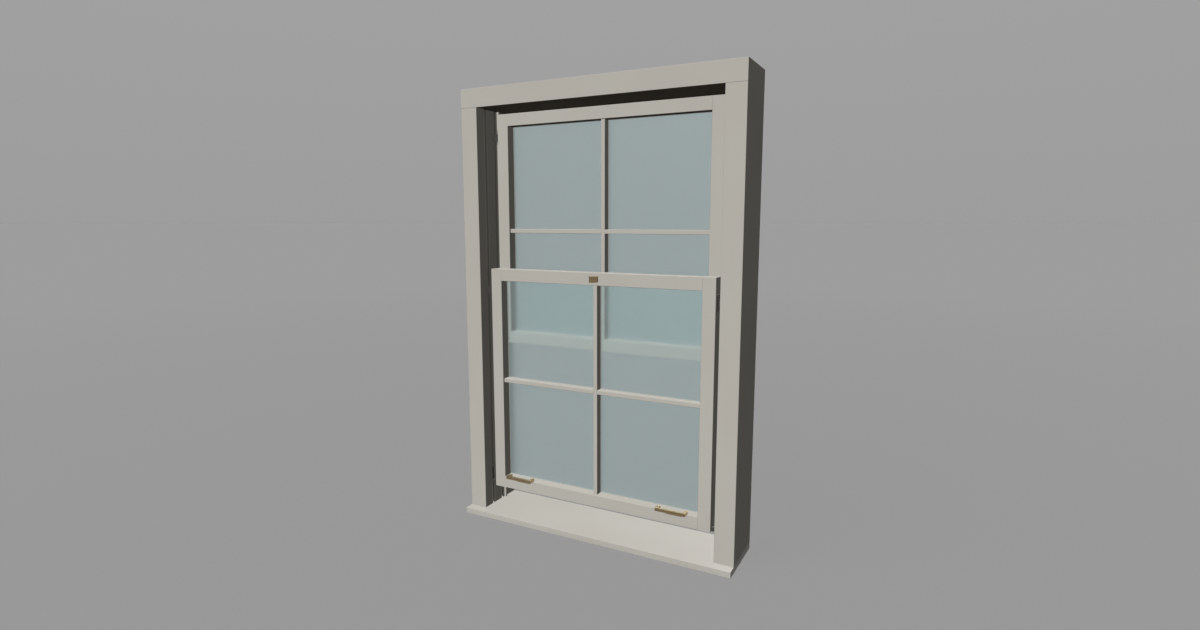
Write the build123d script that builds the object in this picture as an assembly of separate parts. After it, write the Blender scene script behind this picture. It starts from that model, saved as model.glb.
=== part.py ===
from build123d import *
from collections import namedtuple
import os

# A double-hung sash window with its frame, in millimetres.
# X runs across the window, the room side faces -Y, and the sill's underside is z = 0.
# The origin is the middle of the overall footprint.

# Frame
frame_width = 1000.0
frame_height = 1515.0
frame_depth = 183.0
jamb_face = 64.0
head_face = 64.0
sill_thickness = 20.0
sill_projection = 33.0
arris = 0.8                 # small chamfer along the grain of every wooden member
joint_gap = 0.1             # room for glue round a tenon
frame_tenon_length = 12.0
frame_tenon_cheek = 8.0     # timber left on each side of a jamb's tenon
frame_tenon_shoulder = 36.5  # timber left in front of the tenon and behind it
frame_screw_inset = 9.0     # screw's middle inside the tenon's end

# Sashes: both have the same members
sash_side_gap = 23.5        # from a sash's edge to the jamb
sash_overlap = 182.0        # of the two sashes when both are shut
upper_sash_extra = 5.0      # the upper sash is this much taller
sash_thickness = 45.0
stile_width = 42.5
rail_width = 41.5
sash_setback = 33.0         # room face of the lower sash behind the frame's face
sash_spacing = 10.0         # air between the two sashes
lower_sash_raised = 79.0    # rest position of the lower sash above the sill
upper_sash_dropped = 14.0   # rest position of the upper sash below the head
rail_tenon_thickness = 11.0
rail_tenon_shoulder = 6.0
rail_tenon_cover = 2.0      # timber between a tenon and the glazing rebate

# Glazing
bar_width = 14.0
bar_setback = 7.5
bar_tongue = 5.0
glass_thickness = 4.0
glass_edge_gap = 1.5
rebate_width = 9.0
glazing_bead_depth = 6.0
bead_splay = 2.5

# Balance channels in the jambs
channel_width = 24.0
channel_depth = 22.0
channel_wall = 1.5
slot_width = 9.0
slot_tenon_gap = 6.5        # slot's middle in front of the rails' tenons
running_gap = 0.3
jamb_bead = 8.0

# Spiral balances
tube_radius = 7.0
tube_wall = 1.5
tube_neck_length = 10.0
tube_plug_length = 20.0
tube_head_gap = 6.0         # tube's top below the head
tube_seat_width = 10.0
spiral_width = 7.0
spiral_thickness = 2.4
spiral_pitch = 100.0        # height of one full turn
spiral_gap = 0.7            # round the rod in the tube's neck
spiral_top_gap = 32.0       # rod's end below the tube's plug when its sash is fully up
ferrule_radius = 4.4
ferrule_length = 14.0

# Carriers and guides
moulded_edge = 1.6          # chamfer on the corners of the carriers and guides
carrier_height = 60.0
carrier_neck_height = 14.0
carrier_arm_thickness = 5.0
carrier_arm_width = 12.0
carrier_arm_margin = 6.0    # arm's end short of the rail
carrier_screw_inset = 10.0  # from each end of the arm
carrier_socket_depth = 10.0
carrier_stop_gap = 12.0     # carrier to tube when its sash is fully up
guide_height = 50.0
guide_plate = 4.0
guide_drop = 52.0           # guide's top below the sash's top
guide_tongue_height = 26.0
guide_tongue_reach = 3.0    # tongue past the jamb's face

# Travel of the sashes
sill_gap = 1.0
head_gap = 3.0

# Brass pulls on the bottom rail
lift_inset = 29.4           # bar's outer end inside the stile's edge
lift_length = 103.2
lift_section = 10.0         # square bar
lift_stand = 35.4           # bar's front in front of the rail's face
lift_rise = 8.0             # bar's underside above the rail's top edge
lift_return_gap = 8.8       # the bar's ends turn back and stop this far in front of the rail's face
lift_edge = 1.2
lift_plate_height = 9.0     # its top is level with the rail's
lift_plate_thickness = 3.0
lift_plate_inset = 25.0     # plate's ends inside the bar's
lift_stem = 6.0             # square stems at the plate's ends
lift_screw_inset = 13.0     # inside the plate's ends

# Brass catch on the top rail
catch_radius = 15.0
catch_height = 20.0
catch_stand = 5.5           # catch's axis in front of the rail's face
catch_cheek = 3.0
catch_gap = 0.4
catch_pin_radius = 2.2
catch_flutes = 16
catch_flute_radius = 1.3
catch_screw_spacing = 18.0

# Screws: shank radius, head radius, length
frame_screw = (3.0, 6.0, 110.0)
sill_screw = (3.0, 6.0, 75.0)
tube_screw = (1.75, 3.4, 30.0)
carrier_screw = (1.9, 3.8, 28.0)
guide_screw = (1.75, 3.4, 25.0)
lift_screw = (1.75, 3.4, 22.0)
catch_screw = (1.5, 3.0, 20.0)
screw_gap = 0.05
slot_share = 0.3            # screwdriver slot, as a share of the head's radius
cutter_reach = 1.0          # how far a cutter starts outside the face that it cuts

# Frame, from the sizes above
face_y = (sill_projection - frame_depth) / 2
back_y = face_y + frame_depth
front_y = face_y - sill_projection
sill_top = sill_thickness
soffit = frame_height - head_face
opening = frame_width / 2 - jamb_face
frame_tenon_y = (face_y + frame_tenon_shoulder, back_y - frame_tenon_shoulder)
frame_tenon_x = (opening + channel_depth + frame_tenon_cheek, frame_width / 2 - frame_tenon_cheek)

# Sections of the sashes
sash_edge = opening - sash_side_gap
sight_x = sash_edge - stile_width
rebate_x = sight_x + rebate_width
glass_setback = sash_thickness - glazing_bead_depth - glass_thickness
rail_tenon_setback = glass_setback - rail_tenon_cover - rail_tenon_thickness
guide_setback = rail_tenon_setback - slot_tenon_gap

# The two sashes: height, room face and foot at rest
Sash = namedtuple("Sash", "name height y z")
shut_height = soffit - head_gap - sill_top - sill_gap
lower_height = (shut_height + sash_overlap - upper_sash_extra) / 2
upper_height = lower_height + upper_sash_extra
lower = Sash("lower", lower_height, face_y + sash_setback, sill_top + lower_sash_raised)
upper = Sash(
    "upper", upper_height, lower.y + sash_thickness + sash_spacing, soffit - upper_sash_dropped - upper_height
)
lowest_z = sill_top + sill_gap

# Balances
channel_x = opening + channel_depth / 2
tube_top = soffit - tube_head_gap
tube_seat_x = channel_x - tube_radius
tube_neck_radius = (spiral_width ** 2 + spiral_thickness ** 2) ** 0.5 / 2 + spiral_gap
carrier_arm_reach = stile_width - carrier_arm_margin

# Brass
lift_outer_x = sight_x - lift_inset
lift_inner_x = lift_outer_x - lift_length
lift_plate_x0 = lift_inner_x + lift_plate_inset
lift_plate_x1 = lift_outer_x - lift_plate_inset
lift_front = lower.y - lift_stand
catch_y = lower.y - catch_stand
catch_z = lower.z + lower.height - rail_width / 2
catch_back = catch_y + catch_radius
catch_floor = catch_back + catch_cheek
pieces = {}


def track_y(sash):
    """Middle of the slot and channel that a sash runs in."""
    return sash.y + guide_setback


def highest_z(sash):
    """A sash's foot when the sash is fully up."""
    return soffit - head_gap - sash.height


def tube_bottom(sash):
    return highest_z(sash) + carrier_height + carrier_stop_gap


def block(x0, x1, y0, y1, z0, z1):
    """A box between two corners."""
    corner = (Align.MIN, Align.MIN, Align.MIN)
    return Pos(x0, y0, z0) * Box(x1 - x0, y1 - y0, z1 - z0, align=corner)


def timber(x0, x1, y0, y1, z0, z1, grain):
    """A planed member, its four edges along the grain eased."""
    member = block(x0, x1, y0, y1, z0, z1)
    return chamfer(member.edges().filter_by(grain), arris)


def both_sides(name, right_piece):
    """Keeps a piece made for the right side, and its mirror image for the left."""
    pieces[name + "_right"] = right_piece
    pieces[name + "_left"] = mirror(right_piece, about=Plane.YZ)


def screw(size, place):
    """A countersunk, slotted screw; its head's face is at place and it drives along place's -Z."""
    shank, head, length = size
    cone = head - shank
    profile = Polyline((0, 0), (head, 0), (shank, -cone), (shank, cone - length), (0, -length), close=True)
    body = revolve(make_face(Plane.XZ * profile), Axis.Z)
    slot = Box(2 * head, slot_share * head, slot_share * head)
    return place * (body - slot)


def screw_hole(size, place):
    """The hole that a screw fills, a hair wider than the screw."""
    shank, head, length = size
    cone = head - shank
    wide = shank + screw_gap
    profile = Polyline(
        (0, cutter_reach), (head + screw_gap, cutter_reach), (head + screw_gap, 0), (wide, -cone),
        (wide, cone - length), (0, -length - screw_gap), close=True
    )
    return place * revolve(make_face(Plane.XZ * profile), Axis.Z)


def cut_holes(piece, size, places):
    for place in places:
        piece = piece - screw_hole(size, place)
    return piece


def group(solids):
    """Separate solids that share one node."""
    return Compound(children=[item.solid() for item in solids])


def mirrored(solids):
    return solids + [mirror(item, about=Plane.YZ) for item in solids]


def frame_screw_places(z, turn):
    """Through the middle of a jamb's tenon, near the tenon's front and back ends."""
    x = sum(frame_tenon_x) / 2
    rows = (frame_tenon_y[0] + frame_screw_inset, frame_tenon_y[1] - frame_screw_inset)
    return [Pos(x, y, z) * Rot(X=turn) for y in rows]


head_screws = frame_screw_places(frame_height, 0)
sill_screws = frame_screw_places(0, 180)
tube_screws = [
    Pos(tube_seat_x, track_y(sash), tube_top - tube_plug_length / 2) * Rot(Y=-90) for sash in (lower, upper)
]


def frame_tenon(z0, z1, gap):
    """A jamb's stub tenon, or with a gap its mortise."""
    x0, x1 = frame_tenon_x
    y0, y1 = frame_tenon_y
    return block(x0 - gap, x1 + gap, y0 - gap, y1 + gap, z0, z1)


def make_jamb():
    jamb = timber(opening, frame_width / 2, face_y, back_y, sill_top, soffit, Axis.Z)
    for sash in (lower, upper):
        y = track_y(sash)
        jamb -= block(
            opening, opening + channel_depth, y - channel_width / 2, y + channel_width / 2, sill_top, soffit
        )
    jamb += frame_tenon(soffit, soffit + frame_tenon_length, 0)
    jamb += frame_tenon(sill_top - frame_tenon_length, sill_top, 0)
    jamb = cut_holes(jamb, frame_screw, head_screws)
    jamb = cut_holes(jamb, sill_screw, sill_screws)
    return cut_holes(jamb, tube_screw, tube_screws)


def make_head():
    head = timber(-frame_width / 2, frame_width / 2, face_y, back_y, soffit, frame_height, Axis.X)
    mortise = frame_tenon(soffit, soffit + frame_tenon_length + joint_gap, joint_gap)
    for cutter in mirrored([mortise] + [screw_hole(frame_screw, place) for place in head_screws]):
        head -= cutter
    return head


def make_sill():
    sill = timber(-frame_width / 2, frame_width / 2, front_y, back_y, 0, sill_top, Axis.X)
    mortise = frame_tenon(sill_top - frame_tenon_length - joint_gap, sill_top, joint_gap)
    for cutter in mirrored([mortise] + [screw_hole(sill_screw, place) for place in sill_screws]):
        sill -= cutter
    return sill


def make_channel(sash):
    """A lipped channel that lines its groove in the jamb, the lips flush with the jamb's face."""
    y = track_y(sash)
    half = channel_width / 2
    channel = block(opening, opening + channel_depth, y - half, y + half, sill_top, soffit)
    inside = half - channel_wall
    channel -= block(
        opening + channel_wall, opening + channel_depth - channel_wall, y - inside, y + inside, sill_top, soffit
    )
    channel -= block(opening, opening + channel_wall, y - slot_width / 2, y + slot_width / 2, sill_top, soffit)
    return cut_holes(channel, tube_screw, tube_screws)


def make_tube(sash):
    """A balance tube: necked in at the foot round the twisted rod, plugged and seated at the top."""
    bottom = tube_bottom(sash)
    y = track_y(sash)
    inside = tube_radius - tube_wall
    profile = Polyline(
        (tube_neck_radius, bottom), (tube_radius, bottom), (tube_radius, tube_top), (0, tube_top),
        (0, tube_top - tube_plug_length), (inside, tube_top - tube_plug_length),
        (inside, bottom + tube_neck_length), (tube_neck_radius, bottom + tube_neck_length), close=True
    )
    tube = Pos(channel_x, y, 0) * revolve(make_face(Plane.XZ * profile), Axis.Z)
    tube += block(
        tube_seat_x, opening + channel_depth - channel_wall, y - tube_seat_width / 2, y + tube_seat_width / 2,
        tube_top - tube_plug_length, tube_top
    )
    return cut_holes(tube, tube_screw, tube_screws)


def make_frame():
    pieces["sill"] = make_sill()
    pieces["head"] = make_head()
    both_sides("jamb", make_jamb())
    bead_y = track_y(upper) + channel_width / 2
    both_sides("jamb_bead", timber(
        opening - jamb_bead, opening, bead_y, bead_y + jamb_bead, sill_top, soffit, Axis.Z
    ))
    for track, sash in (("inner", lower), ("outer", upper)):
        both_sides("channel_" + track, make_channel(sash))
        both_sides("balance_tube_" + track, make_tube(sash))
    screws = [screw(frame_screw, place) for place in head_screws]
    screws += [screw(sill_screw, place) for place in sill_screws]
    screws += [screw(tube_screw, place) for place in tube_screws]
    pieces["frame_screws"] = group(mirrored(screws))


def carrier_screw_places(sash):
    """Under the stile, driven up through the carrier's arm."""
    rows = (sash_edge - carrier_arm_reach + carrier_screw_inset, sash_edge - carrier_screw_inset)
    return [Pos(x, track_y(sash), sash.z) * Rot(X=180) for x in rows]


def guide_middle_z(sash):
    return sash.z + sash.height - guide_drop - guide_height / 2


def guide_screw_places(sash):
    """Above and below the guide's tongue, driven into the stile's edge."""
    offset = (guide_height + guide_tongue_height) / 4
    return [
        Pos(sash_edge + guide_plate, track_y(sash), guide_middle_z(sash) + side * offset) * Rot(Y=90)
        for side in (-1, 1)
    ]


def rail_tenon(sash, rail_z, gap):
    """A through tenon on the right end of a rail, or with a gap its mortise."""
    tenon_y = sash.y + rail_tenon_setback
    return block(
        sight_x, sash_edge, tenon_y - gap, tenon_y + rail_tenon_thickness + gap,
        rail_z + rail_tenon_shoulder - gap, rail_z + rail_width - rail_tenon_shoulder + gap
    )


def make_stile(sash):
    back = sash.y + sash_thickness
    top = sash.z + sash.height
    stile = timber(sight_x, sash_edge, sash.y, back, sash.z, top, Axis.Z)
    stop = rail_width - rebate_width
    stile -= block(sight_x, rebate_x, sash.y + glass_setback, back, sash.z + stop, top - stop)
    for rail_z in (sash.z, top - rail_width):
        stile -= rail_tenon(sash, rail_z, joint_gap)
    half_arm = carrier_arm_width / 2 + joint_gap
    stile -= block(
        sash_edge - carrier_arm_reach - joint_gap, sash_edge, track_y(sash) - half_arm, track_y(sash) + half_arm,
        sash.z, sash.z + carrier_arm_thickness
    )
    stile = cut_holes(stile, carrier_screw, carrier_screw_places(sash))
    return cut_holes(stile, guide_screw, guide_screw_places(sash))


def make_rail(sash, rail_z, rebate_z):
    """A rail with a through tenon at each end; rebate_z is the foot of its glazing rebate."""
    back = sash.y + sash_thickness
    rail = timber(-sight_x, sight_x, sash.y, back, rail_z, rail_z + rail_width, Axis.X)
    rail -= block(-sight_x, sight_x, sash.y + glass_setback, back, rebate_z, rebate_z + rebate_width)
    for tenon in mirrored([rail_tenon(sash, rail_z, 0)]):
        rail += tenon
    return rail


def make_bars(sash):
    """The glazing bars: a square front, and a thin tongue between the panes behind it."""
    half = bar_width / 2
    tongue = bar_tongue / 2
    front_y0 = sash.y + bar_setback
    front_y1 = sash.y + glass_setback
    tongue_y1 = sash.y + sash_thickness
    low = sash.z + rail_width
    high = sash.z + sash.height - rail_width
    middle = sash.z + sash.height / 2
    upright = timber(-half, half, front_y0, front_y1, low, high, Axis.Z)
    upright += block(-tongue, tongue, front_y1, tongue_y1, low - rebate_width, high + rebate_width)
    pieces[sash.name + "_bar_upright"] = upright
    cross = timber(half, sight_x, front_y0, front_y1, middle - half, middle + half, Axis.X)
    cross += block(tongue, rebate_x, front_y1, tongue_y1, middle - tongue, middle + tongue)
    both_sides(sash.name + "_bar", cross)


def pane_rows(sash):
    """Foot and top of the lower and the upper row of panes, with the clear opening's foot and top."""
    middle = sash.z + sash.height / 2
    low = sash.z + rail_width
    high = sash.z + sash.height - rail_width
    half = bar_width / 2
    tongue = bar_tongue / 2
    return {
        "lower": (low - rebate_width, middle - tongue, low, middle - half),
        "upper": (middle + tongue, high + rebate_width, middle + half, high),
    }


def make_glazing(sash):
    glass_y = sash.y + glass_setback
    bead_y0 = glass_y + glass_thickness
    bead_y1 = sash.y + sash_thickness
    beads = []
    for row, (foot, top, clear_foot, clear_top) in pane_rows(sash).items():
        pane = block(
            bar_tongue / 2 + glass_edge_gap, rebate_x - glass_edge_gap, glass_y, bead_y0,
            foot + glass_edge_gap, top - glass_edge_gap
        )
        both_sides(sash.name + "_pane_" + row, pane)
        strips = [
            (block(bar_tongue / 2, rebate_x, bead_y0, bead_y1, foot, clear_foot), Axis.Z, -1, Axis.X),
            (block(bar_tongue / 2, rebate_x, bead_y0, bead_y1, clear_top, top), Axis.Z, 0, Axis.X),
            (block(bar_tongue / 2, bar_width / 2, bead_y0, bead_y1, clear_foot, clear_top), Axis.X, -1, Axis.Z),
            (block(sight_x, rebate_x, bead_y0, bead_y1, clear_foot, clear_top), Axis.X, 0, Axis.Z),
        ]
        for strip, across, end, grain in strips:
            outer = strip.edges().filter_by(grain).group_by(Axis.Y)[-1].sort_by(across)[end]
            beads.append(chamfer(outer, bead_splay))
    pieces[sash.name + "_glazing_beads"] = group(mirrored(beads))


def make_carrier(sash):
    """A shoe in the channel, a neck through the slot and an arm under the stile, in one casting."""
    y = track_y(sash)
    shoe_x0 = opening + channel_wall + running_gap
    shoe_x1 = opening + channel_depth - channel_wall - running_gap
    shoe_half = channel_width / 2 - channel_wall - running_gap
    neck_half = slot_width / 2 - running_gap
    arm_half = carrier_arm_width / 2
    shoe = block(shoe_x0, shoe_x1, y - shoe_half, y + shoe_half, sash.z, sash.z + carrier_height)
    shoe = chamfer(shoe.edges().filter_by(Axis.Z), moulded_edge)
    carrier = shoe + block(
        sash_edge + joint_gap, shoe_x0 + running_gap, y - neck_half, y + neck_half,
        sash.z, sash.z + carrier_neck_height
    )
    carrier += block(
        sash_edge - carrier_arm_reach, sash_edge + joint_gap, y - arm_half, y + arm_half,
        sash.z, sash.z + carrier_arm_thickness
    )
    socket = Cylinder(
        ferrule_radius + screw_gap, carrier_socket_depth, align=(Align.CENTER, Align.CENTER, Align.MAX)
    )
    carrier -= Pos(channel_x, y, sash.z + carrier_height) * socket
    return cut_holes(carrier, carrier_screw, carrier_screw_places(sash))


def make_spiral(sash):
    """A flat rod twisted along its length, with a round ferrule that stands in the carrier."""
    foot_in_sash = carrier_height - carrier_socket_depth
    top_when_up = tube_top - tube_plug_length - spiral_top_gap
    length = top_when_up - highest_z(sash) - foot_in_sash
    twisted = length - ferrule_length
    strip = Solid.extrude_linear_with_rotation(
        Face.make_rect(spiral_width, spiral_thickness), (0, 0, 0), (0, 0, twisted), 360 * twisted / spiral_pitch
    )
    ferrule = Cylinder(ferrule_radius, ferrule_length, align=(Align.CENTER, Align.CENTER, Align.MIN))
    rod = ferrule + Pos(0, 0, ferrule_length) * strip
    left_in_tube = lowest_z + foot_in_sash + length - tube_bottom(sash)
    print("rod left in the tube with the", sash.name, "sash fully down:", round(left_in_tube, 1))
    return Pos(channel_x, track_y(sash), sash.z + foot_in_sash) * rod


def make_guide(sash):
    """A plate on the stile's edge with a tongue that runs in the channel's slot."""
    y = track_y(sash)
    middle_z = guide_middle_z(sash)
    plate_half = channel_width / 2
    tongue_half = slot_width / 2 - running_gap
    plate = block(
        sash_edge, sash_edge + guide_plate, y - plate_half, y + plate_half,
        middle_z - guide_height / 2, middle_z + guide_height / 2
    )
    plate = chamfer(plate.edges().filter_by(Axis.X), moulded_edge)
    tongue = block(
        sash_edge + guide_plate, opening + guide_tongue_reach, y - tongue_half, y + tongue_half,
        middle_z - guide_tongue_height / 2, middle_z + guide_tongue_height / 2
    )
    return cut_holes(plate + tongue, guide_screw, guide_screw_places(sash))


def make_sash(sash):
    top_rail_z = sash.z + sash.height - rail_width
    both_sides(sash.name + "_stile", make_stile(sash))
    pieces[sash.name + "_bottom_rail"] = make_rail(sash, sash.z, sash.z + rail_width - rebate_width)
    pieces[sash.name + "_top_rail"] = make_rail(sash, top_rail_z, top_rail_z)
    make_bars(sash)
    make_glazing(sash)
    both_sides(sash.name + "_carrier", make_carrier(sash))
    both_sides(sash.name + "_spiral", make_spiral(sash))
    both_sides(sash.name + "_guide", make_guide(sash))
    screws = [screw(carrier_screw, place) for place in carrier_screw_places(sash)]
    screws += [screw(guide_screw, place) for place in guide_screw_places(sash)]
    pieces[sash.name + "_screws"] = group(mirrored(screws))


lift_screws = [
    Pos(x, lower.y - lift_plate_thickness, lower.z + rail_width - lift_plate_height / 2) * Rot(X=90)
    for x in (lift_plate_x0 + lift_screw_inset, lift_plate_x1 - lift_screw_inset)
]
catch_screws = [
    Pos(side * catch_screw_spacing / 2, catch_back, catch_z) * Rot(X=90) for side in (-1, 1)
]


def make_lift():
    """A square brass bar, its ends turned back, on two stems that slope up from a plate on the rail's face."""
    rail_top = lower.z + rail_width
    low = rail_top + lift_rise
    high = low + lift_section
    bar_back = lift_front + lift_section
    lift = block(lift_inner_x, lift_outer_x, lift_front, bar_back, low, high)
    for end_x in (lift_inner_x, lift_outer_x - lift_section):
        lift += block(end_x, end_x + lift_section, lift_front, lower.y - lift_return_gap, low, high)
    front_edges = lift.edges().group_by(Axis.Y)[0]
    lift = chamfer(front_edges, lift_edge)
    plate_y = lower.y - lift_plate_thickness
    lift += block(lift_plate_x0, lift_plate_x1, plate_y, lower.y, rail_top - lift_plate_height, rail_top)
    bar_middle = lift_front + lift_section / 2
    stem = Plane.YZ * make_face(Polyline(
        (bar_middle, low), (bar_middle, low + lift_stem), (bar_back, low + lift_stem), (plate_y, rail_top),
        (plate_y, rail_top - lift_stem), (bar_back, low), close=True
    ))
    for stem_x in (lift_plate_x0, lift_plate_x1 - lift_stem):
        lift += extrude(Pos(stem_x, 0, 0) * stem, lift_stem, dir=(1, 0, 0))
    return cut_holes(lift, lift_screw, lift_screws)


def make_catch():
    """A thumb barrel between the two cheeks of a case that is let into the rail."""
    outline = Circle(catch_radius) + Pos(0, catch_radius / 2) * Rectangle(2 * catch_radius, catch_radius)
    cheek = extrude(outline, catch_cheek)
    low = catch_z - catch_height / 2
    high = catch_z + catch_height / 2
    case = Pos(0, catch_y, high - catch_cheek) * cheek
    case += Pos(0, catch_y, low) * cheek
    case += block(-catch_radius, catch_radius, catch_back, catch_floor, low, high)
    axis = Pos(0, catch_y, catch_z)
    case -= axis * Cylinder(catch_pin_radius + screw_gap, catch_height)
    pieces["catch_case"] = cut_holes(case, catch_screw, catch_screws)
    pieces["catch_pin"] = axis * Cylinder(catch_pin_radius, catch_height)
    barrel_radius = catch_radius - 2 * catch_gap
    barrel = Cylinder(barrel_radius, catch_height - 2 * catch_cheek - 2 * catch_gap)
    for place in PolarLocations(barrel_radius + catch_flute_radius / 2, catch_flutes):
        barrel -= place * Cylinder(catch_flute_radius, catch_height)
    barrel -= Cylinder(catch_pin_radius + screw_gap, catch_height)
    pieces["catch_barrel"] = axis * barrel


def fit_brass():
    """The pulls and the catch, with the cuts they need in the lower sash."""
    both_sides("lift", make_lift())
    make_catch()
    pocket_half = catch_radius + joint_gap
    pocket_rise = catch_height / 2 + joint_gap
    pieces["lower_top_rail"] -= block(
        -pocket_half, pocket_half, lower.y - cutter_reach, catch_floor, catch_z - pocket_rise, catch_z + pocket_rise
    )
    pieces["lower_top_rail"] = cut_holes(pieces["lower_top_rail"], catch_screw, catch_screws)
    for cutter in mirrored([screw_hole(lift_screw, place) for place in lift_screws]):
        pieces["lower_bottom_rail"] -= cutter
    screws = mirrored([screw(lift_screw, place) for place in lift_screws])
    screws += [screw(catch_screw, place) for place in catch_screws]
    pieces["brass_screws"] = group(screws)


make_frame()
make_sash(lower)
make_sash(upper)
fit_brass()

os.makedirs("parts", exist_ok=True)
for node, shape in pieces.items():
    shape.label = node
    export_step(shape, f"parts/{node}.step")

for sash in (lower, upper):
    print("travel of the", sash.name, "sash, down and up:", lowest_z - sash.z, highest_z(sash) - sash.z)
print("nodes:", len(pieces))
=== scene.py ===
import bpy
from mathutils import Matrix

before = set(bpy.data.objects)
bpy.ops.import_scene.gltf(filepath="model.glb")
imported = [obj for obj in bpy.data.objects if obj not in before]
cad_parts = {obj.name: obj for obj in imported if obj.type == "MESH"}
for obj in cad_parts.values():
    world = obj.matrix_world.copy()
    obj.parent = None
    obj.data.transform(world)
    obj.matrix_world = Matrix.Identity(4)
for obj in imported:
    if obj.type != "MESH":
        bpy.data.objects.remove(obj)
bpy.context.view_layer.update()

import math

import bpy
from mathutils import Vector

# Camera: a wide lens in the room, right of the window and a little below its head, turned to the left and
# tipped down by eight degrees. The picture is 1200 by 630, with the lens's axis at its middle.
camera_place = (1.0221, -1.9536, 1.0668)
camera_turn_deg = 27.61
camera_tip_deg = 7.99
lens_mm = 19.98
sensor_mm = 36.0
lens = bpy.data.cameras.new("camera")
lens.sensor_width = sensor_mm
lens.lens = lens_mm
camera = bpy.data.objects.new("camera", lens)
camera.location = camera_place
camera.rotation_euler = (math.radians(90 - camera_tip_deg), 0, math.radians(camera_turn_deg))
bpy.context.scene.collection.objects.link(camera)
bpy.context.scene.camera = camera
bpy.context.scene.view_settings.view_transform = "Standard"


# Painted frame: sill, head and jambs of planed softwood, the jambs stub tenoned and screwed at both ends,
# with a square strip pinned down each jamb. All of it is brushed with flat stone-white paint, whose pigment
# breaks through the film: long soft brush marks along the grain, and next to no gloss.
def colour(code):
    """A hex sRGB colour as the linear colour that a shader takes."""
    parts = [int(code[i:i + 2], 16) / 255 for i in (1, 3, 5)]
    linear = [part / 12.92 if part <= 0.04045 else ((part + 0.055) / 1.055) ** 2.4 for part in parts]
    return (*linear, 1.0)


def fill(tree, node, inputs):
    """Gives a node's inputs their plain values, and links those that are another node's output."""
    for name, value in inputs.items():
        if isinstance(value, bpy.types.NodeSocket):
            tree.links.new(value, node.inputs[name])
        else:
            node.inputs[name].default_value = value


def add_node(tree, kind, inputs, **settings):
    """Adds one shader node with its settings, values and links."""
    node = tree.nodes.new("ShaderNode" + kind)
    for name, value in settings.items():
        setattr(node, name, value)
    fill(tree, node, inputs)
    return node


def start_material(name, inputs):
    """A new material with its node tree and its one Principled shader."""
    material = bpy.data.materials.new(name)
    material.use_nodes = True
    shader = material.node_tree.nodes["Principled BSDF"]
    fill(material.node_tree, shader, inputs)
    return material, material.node_tree, shader


def soft_marks(tree, size_mm, detail, distortion=0.0):
    """Cloudy marks that measure size_mm along X, Y and Z and stay fixed to the piece."""
    place = add_node(tree, "TexCoord", {})
    stretched = add_node(tree, "Mapping", {
        "Vector": place.outputs["Object"], "Scale": [1000 / size for size in size_mm]
    })
    return add_node(tree, "TexNoise", {
        "Vector": stretched.outputs["Vector"], "Scale": 1.0, "Detail": detail, "Distortion": distortion
    }).outputs["Fac"]


first_colour, second_colour, mixed_colour = 6, 7, 2     # the Mix node's sockets for colours
marks_range = {"From Min": 0.3, "From Max": 0.7}        # nearly all of a mark's values lie between these
level, upright = 0, 2       # the axis that a member, its grain and its brush marks run along

paint_light = "#c2bfb7"
paint_deep = "#bfbbb3"
paint_ior = 1.5
paint_patch_mm = 260
brush_mark_mm = 3.5         # really about 1 mm: drawn coarser, so that it shows
brush_stroke_mm = 220
brush_depth_mm = 0.05
brush_strength = 0.6
grain_mm = 14
grain_length_mm = 420
grain_depth_mm = 0.08
grain_strength = 0.5
grain_waver = 0.6


def painted_timber(name, along, gloss=0.05, roughness=(0.78, 0.88)):
    """Flat paint on timber, brushed along its grain."""
    material, tree, shader = start_material(name, {"IOR": paint_ior, "Specular IOR Level": gloss})
    stroke = [brush_mark_mm] * 3
    stroke[along] = brush_stroke_mm
    grain = [grain_mm] * 3
    grain[along] = grain_length_mm
    strokes = soft_marks(tree, stroke, 2.0)
    rings = soft_marks(tree, grain, 1.0, grain_waver)
    patches = soft_marks(tree, [paint_patch_mm] * 3, 1.0)
    shade = add_node(tree, "MapRange", {"Value": patches, **marks_range})
    tint = add_node(tree, "Mix", {
        0: shade.outputs["Result"], first_colour: colour(paint_light), second_colour: colour(paint_deep)
    }, data_type="RGBA")
    shine = add_node(tree, "MapRange", {
        "Value": strokes, **marks_range, "To Min": roughness[0], "To Max": roughness[1]
    })
    raised_grain = add_node(tree, "Bump", {
        "Strength": grain_strength, "Distance": grain_depth_mm / 1000, "Height": rings
    })
    surface = add_node(tree, "Bump", {
        "Strength": brush_strength, "Distance": brush_depth_mm / 1000, "Height": strokes,
        "Normal": raised_grain.outputs["Normal"]
    })
    fill(tree, shader, {
        "Base Color": tint.outputs[mixed_colour], "Roughness": shine.outputs["Result"],
        "Normal": surface.outputs["Normal"]
    })
    return material


def finish(material, *names):
    """Gives the window's pieces their material."""
    for name in names:
        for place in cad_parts[name].material_slots:
            place.material = material


sides = ("left", "right")
level_paint = painted_timber("flat_paint_level_grain", level)
upright_paint = painted_timber("flat_paint_upright_grain", upright)
# The sill is wiped often, which has polished its paint a little.
wiped_paint = painted_timber("wiped_paint_level_grain", level, gloss=0.4, roughness=(0.46, 0.54))
finish(wiped_paint, "sill")
finish(level_paint, "head")
for side in sides:
    finish(upright_paint, "jamb_" + side, "jamb_bead_" + side)

# Sashes: stiles, rails and glazing bars of the same softwood, the rails tenoned through the stiles, the bars
# let in between them, in the same paint as the frame. Splayed beads, pinned in from outside, hold the panes.
sashes = ("lower", "upper")
for sash in sashes:
    finish(level_paint, sash + "_top_rail", sash + "_bottom_rail", sash + "_glazing_beads")
    finish(upright_paint, sash + "_bar_upright")
    for side in sides:
        finish(upright_paint, f"{sash}_stile_{side}")
        finish(level_paint, f"{sash}_bar_{side}")

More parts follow.
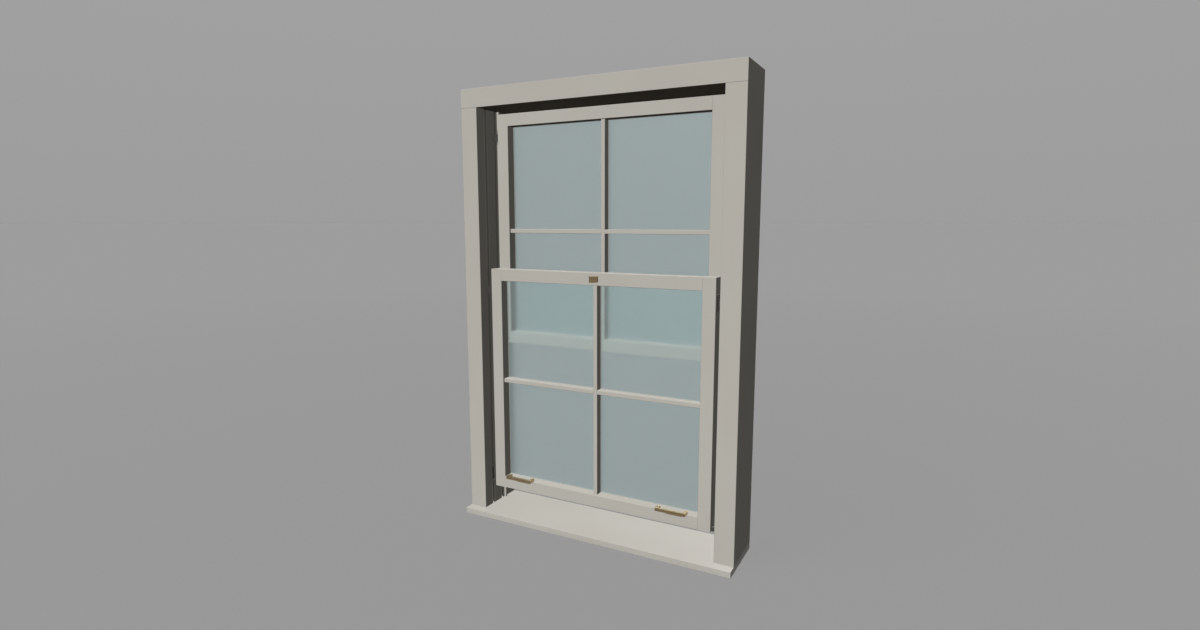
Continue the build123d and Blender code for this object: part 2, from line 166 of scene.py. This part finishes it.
# Panes: 4 mm float glass, clear, with the faint blue-green that its iron gives. It is bedded in the rebates,
# and a film that cleaning leaves on it softens what is seen through it a little. The lower panes are handled
# and wiped more, so their film is heavier.
glass_tint = "#e1f0f1"
glass_ior = 1.52
film_mm = 90
film_roughness = (0.28, 0.32)
film_weights = {"lower": 0.1, "upper": 0.085}


def float_glass(sash):
    """The glass of one sash, whose film scatters a little of the light."""
    material, tree, shader = start_material("float_glass_" + sash, {
        "Base Color": colour(glass_tint), "IOR": glass_ior, "Transmission Weight": 1 - film_weights[sash]
    })
    film = add_node(tree, "MapRange", {
        "Value": soft_marks(tree, [film_mm] * 3, 2.0), **marks_range,
        "To Min": film_roughness[0], "To Max": film_roughness[1]
    })
    fill(tree, shader, {"Roughness": film.outputs["Result"]})
    return material


for sash in sashes:
    panes = [f"{sash}_pane_{row}_{side}" for row in ("upper", "lower") for side in sides]
    finish(float_glass(sash), *panes)
    for pane in panes:
        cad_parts[pane].visible_shadow = False


# Balance channels: rigid PVC extrusions in the paint's own stone white, let in flush with the jambs. They
# are smooth and a little glossy, with faint lines from the die along their length.
def marked_surface(name, base, marks_mm, detail, colours, roughness, depth_mm, strength):
    """A finish whose one kind of mark changes its colour, its roughness and its height."""
    material, tree, shader = start_material(name, base)
    marks = soft_marks(tree, marks_mm, detail)
    tint = add_node(tree, "Mix", {
        0: marks, first_colour: colour(colours[0]), second_colour: colour(colours[1])
    }, data_type="RGBA")
    shine = add_node(tree, "MapRange", {
        "Value": marks, **marks_range, "To Min": roughness[0], "To Max": roughness[1]
    })
    surface = add_node(tree, "Bump", {"Strength": strength, "Distance": depth_mm / 1000, "Height": marks})
    fill(tree, shader, {
        "Base Color": tint.outputs[mixed_colour], "Roughness": shine.outputs["Result"],
        "Normal": surface.outputs["Normal"]
    })
    return material


die_line_mm = 2.0           # really a few tenths: drawn coarser, so that it shows
die_line_length_mm = 900
channel_pvc = marked_surface(
    "extruded_pvc", {"IOR": 1.53}, (die_line_mm, die_line_mm, die_line_length_mm), detail=1.0,
    colours=("#cbc7bd", "#c2beb4"), roughness=(0.34, 0.42), depth_mm=0.03, strength=0.4)
tracks = ("inner", "outer")
for side in sides:
    finish(channel_pvc, *[f"channel_{track}_{side}" for track in tracks])

# Balance tubes: drawn aluminium, plain, screwed through a seat at the top of each channel. Drawing leaves
# fine lines along the tube, which stretch its highlights.
draw_line_mm = 1.0          # really about 0.1 mm: drawn coarser, so that it shows
draw_line_length_mm = 400
tube_aluminium = marked_surface(
    "drawn_aluminium", {"Metallic": 1.0}, (draw_line_mm, draw_line_mm, draw_line_length_mm), detail=2.0,
    colours=("#d6d7d8", "#bfc0c2"), roughness=(0.28, 0.4), depth_mm=0.02, strength=0.3)
for side in sides:
    finish(tube_aluminium, *[f"balance_tube_{track}_{side}" for track in tracks])

# Twisted rods and steel screws: mild steel, zinc plated and bright. Plating leaves a fine spangle and a
# slightly uneven shine.
spangle_mm = 4
zinc_steel = marked_surface(
    "zinc_plated_steel", {"Metallic": 1.0}, [spangle_mm] * 3, detail=3.0,
    colours=("#cfd0cc", "#b4b6b4"), roughness=(0.3, 0.42), depth_mm=0.02, strength=0.3)
finish(zinc_steel, "frame_screws")
for sash in sashes:
    finish(zinc_steel, sash + "_screws", *[f"{sash}_spiral_{side}" for side in sides])

# Carriers and guides: moulded nylon, dark grey all through, the carriers glass-filled and so a shade darker.
# The mould's eroded surface gives a fine, even pebble.
pebble_mm = 0.8             # really about 0.1 mm: drawn coarser, so that it shows
nylon_colours = {"carrier": ("#434240", "#4a4946"), "guide": ("#464543", "#4d4c49")}
nylon_names = {"carrier": "glass_filled_nylon", "guide": "plain_nylon"}
for piece, colours in nylon_colours.items():
    nylon = marked_surface(
        nylon_names[piece], {"IOR": 1.53}, [pebble_mm] * 3, detail=1.0,
        colours=colours, roughness=(0.42, 0.55), depth_mm=0.04, strength=0.5)
    finish(nylon, *[f"{sash}_{piece}_{side}" for sash in sashes for side in sides])

# Brass: two square bar pulls, each cast with its stems and plate and screwed to the bottom rail, and a small
# catch with a fluted thumb barrel, let into the top rail. Handling keeps it satin, and it has browned.
brass_bright = "#c5ad87"
brass_brown = "#b79f7b"
brass_roughness = (0.26, 0.34)
tarnish_mm = 22
rub_mm = 0.9
rub_length_mm = 30
rub_depth_mm = 0.02
rub_strength = 0.3
brass, brass_tree, brass_shader = start_material("satin_brass", {"Metallic": 1.0})
tarnish = add_node(brass_tree, "MapRange", {
    "Value": soft_marks(brass_tree, [tarnish_mm] * 3, 4.0), **marks_range
})
brass_tint = add_node(brass_tree, "Mix", {
    0: tarnish.outputs["Result"], first_colour: colour(brass_bright), second_colour: colour(brass_brown)
}, data_type="RGBA")
rubbing = soft_marks(brass_tree, (rub_length_mm, rub_mm, rub_mm), 2.0)
brass_shine = add_node(brass_tree, "MapRange", {
    "Value": rubbing, **marks_range, "To Min": brass_roughness[0], "To Max": brass_roughness[1]
})
rubbed = add_node(brass_tree, "Bump", {
    "Strength": rub_strength, "Distance": rub_depth_mm / 1000, "Height": rubbing
})
fill(brass_tree, brass_shader, {
    "Base Color": brass_tint.outputs[mixed_colour], "Roughness": brass_shine.outputs["Result"],
    "Normal": rubbed.outputs["Normal"]
})
finish(brass, "lift_left", "lift_right", "catch_case", "catch_barrel", "catch_pin", "brass_screws")

# Floor and light: a plain pale grey floor that runs out into the same grey all round. The window has a high
# lamp in front, too broad to glare on metal or glass, and a low one behind. The floor has two of its own, one
# of which casts the window's shadow. Little light is thrown back, so undersides and reveals stay dark.
# Painted shade: the floor is coloured a little darker near the window and pales outwards to the far grey.
floor_near = "#999999"
floor_far = "#9e9e9e"
floor_bounce = "#241f1a"
floor_roughness = 0.9
floor_reach_m = 400.0
floor_near_m = 0.5
floor_far_m = 9.0
floor_drop_m = 0.0005


def seen_rays(tree):
    """1 for what the camera sees, straight or in a reflection or through glass, and 0 for bounced light."""
    path = add_node(tree, "LightPath", {})
    first = add_node(tree, "Math", {
        0: path.outputs["Is Camera Ray"], 1: path.outputs["Is Glossy Ray"]
    }, operation="MAXIMUM")
    both = add_node(tree, "Math", {
        0: first.outputs["Value"], 1: path.outputs["Is Transmission Ray"]
    }, operation="MAXIMUM")
    return both.outputs["Value"]


def seen_and_thrown(tree, place, seen, thrown):
    """A colour that runs from one seen colour to the other by place, and another for bounced light."""
    look = add_node(tree, "Mix", {
        0: place, first_colour: colour(seen[0]), second_colour: colour(seen[1])
    }, data_type="RGBA")
    return add_node(tree, "Mix", {
        0: seen_rays(tree), first_colour: colour(thrown), second_colour: look.outputs[mixed_colour]
    }, data_type="RGBA").outputs[mixed_colour]


floor_corners = [(x * floor_reach_m, y * floor_reach_m, -floor_drop_m)
                 for x, y in ((-1, -1), (1, -1), (1, 1), (-1, 1))]
floor_mesh = bpy.data.meshes.new("floor")
floor_mesh.from_pydata(floor_corners, [], [(0, 1, 2, 3)])
floor = bpy.data.objects.new("floor", floor_mesh)
bpy.context.scene.collection.objects.link(floor)
floor_paint, floor_tree, floor_shader = start_material("floor_paint", {
    "Roughness": floor_roughness, "Specular IOR Level": 0.0
})
floor_place = add_node(floor_tree, "TexCoord", {})
floor_range = add_node(floor_tree, "VectorMath", {0: floor_place.outputs["Object"]}, operation="LENGTH")
# Painted shade: darkest within floor_near_m of the window, palest from floor_far_m out.
floor_shade_fade = add_node(floor_tree, "MapRange", {
    "Value": floor_range.outputs["Value"], "From Min": floor_near_m, "From Max": floor_far_m
})
fill(floor_tree, floor_shader, {
    "Base Color": seen_and_thrown(
        floor_tree, floor_shade_fade.outputs["Result"], (floor_near, floor_far), floor_bounce)
})
floor_mesh.materials.append(floor_paint)

horizon_pale = "#9d9d9d"
high_pale = "#a1a1a1"
high_turn = 0.3             # sine of the height at which the surround is palest
surround_dim = "#686866"
surround = bpy.data.worlds.new("surround")
surround.use_nodes = True
surround_tree = surround.node_tree
direction = add_node(surround_tree, "TexCoord", {})
direction_parts = add_node(surround_tree, "SeparateXYZ", {"Vector": direction.outputs["Generated"]})
height = add_node(surround_tree, "MapRange", {"Value": direction_parts.outputs["Z"], "From Max": high_turn})
fill(surround_tree, surround_tree.nodes["Background"], {
    "Color": seen_and_thrown(
        surround_tree, height.outputs["Result"], (horizon_pale, high_pale), surround_dim)
})
bpy.context.scene.world = surround


def lamp(name, towards, strength, blur_deg, shadows=False, glare=True):
    """A sun lamp that shines from a direction, seen from the window's middle."""
    light = bpy.data.lights.new(name, "SUN")
    light.energy = strength
    light.angle = math.radians(blur_deg)
    light.use_shadow = shadows
    holder = bpy.data.objects.new(name, light)
    holder.rotation_mode = "QUATERNION"
    holder.rotation_quaternion = Vector(towards).to_track_quat("Z", "Y")
    holder.visible_transmission = False
    holder.visible_glossy = glare
    bpy.context.scene.collection.objects.link(holder)
    return holder


def light_only(holder, *pieces, leave_out=False):
    """Lets a lamp reach these pieces only, or every piece but these."""
    chosen = bpy.data.collections.new(holder.name + "_pieces")
    for place, piece in enumerate(pieces):
        chosen.objects.link(piece)
        if leave_out:
            chosen.collection_objects[place].light_linking.link_state = "EXCLUDE"
    holder.light_linking.receiver_collection = chosen


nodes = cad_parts
# The high lamp casts no shadows and would shine into the closed channels, so it leaves out what is in them.
in_grooves = [node for name, node in nodes.items() if "channel" in name or "tube" in name or "spiral" in name]
high = lamp("high", towards=(0, -0.783, 0.622), strength=2.98, blur_deg=12, glare=False)
light_only(high, floor, *in_grooves, leave_out=True)
floor_fill = lamp("floor_fill", towards=(0, 0, 1), strength=1.4, blur_deg=12)
floor_soft = lamp("floor_soft", towards=(-0.30, -0.60, 0.74), strength=0.63, blur_deg=50, shadows=True)
for holder in (floor_fill, floor_soft):
    light_only(holder, floor)
lamp("behind", towards=(0, 0.82, 0.57), strength=1.4, blur_deg=16)
for node in nodes.values():
    node.visible_diffuse = False
